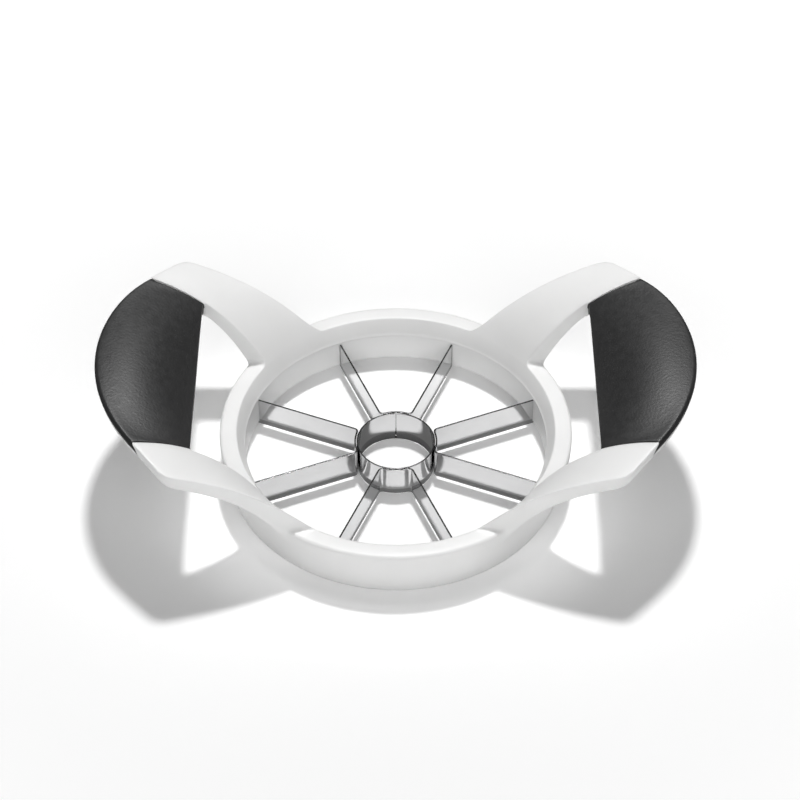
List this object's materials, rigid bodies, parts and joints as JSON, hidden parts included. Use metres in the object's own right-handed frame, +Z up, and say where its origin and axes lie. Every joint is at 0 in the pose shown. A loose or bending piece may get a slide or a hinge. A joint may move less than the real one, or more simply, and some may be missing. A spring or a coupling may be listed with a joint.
{
  "type": "apple slicer and corer",
  "caption": "Push-down fruit slicer: a white moulded ring with swept-up arms and soft dark grips holds a steel wheel of thin blades round a coring tube.",
  "frame": {"origin": "middle of the ring's foot, on the surface the tool stands on", "axes": "+X to the right grip, +Y to the back, +Z up out of the ring"},
  "size_m": [0.1772, 0.107, 0.0478],
  "materials": {
    "white_plastic": "white moulded plastic with a soft gloss",
    "polished_steel": "thin polished stainless strip with ground lower edges",
    "soft_black": "matt soft-touch overmoulding, very dark grey"
  },
  "bodies": {
    "root": {"frame": "white_plastic", "blade_carrier_ring": "white_plastic", "corer_tube": "polished_steel", "blade_strip_right": "polished_steel", "blade_strip_back": "polished_steel", "blade_strip_left": "polished_steel", "blade_strip_front": "polished_steel", "grip_left": "soft_black", "grip_right": "soft_black"}
  },
  "joints": []
}
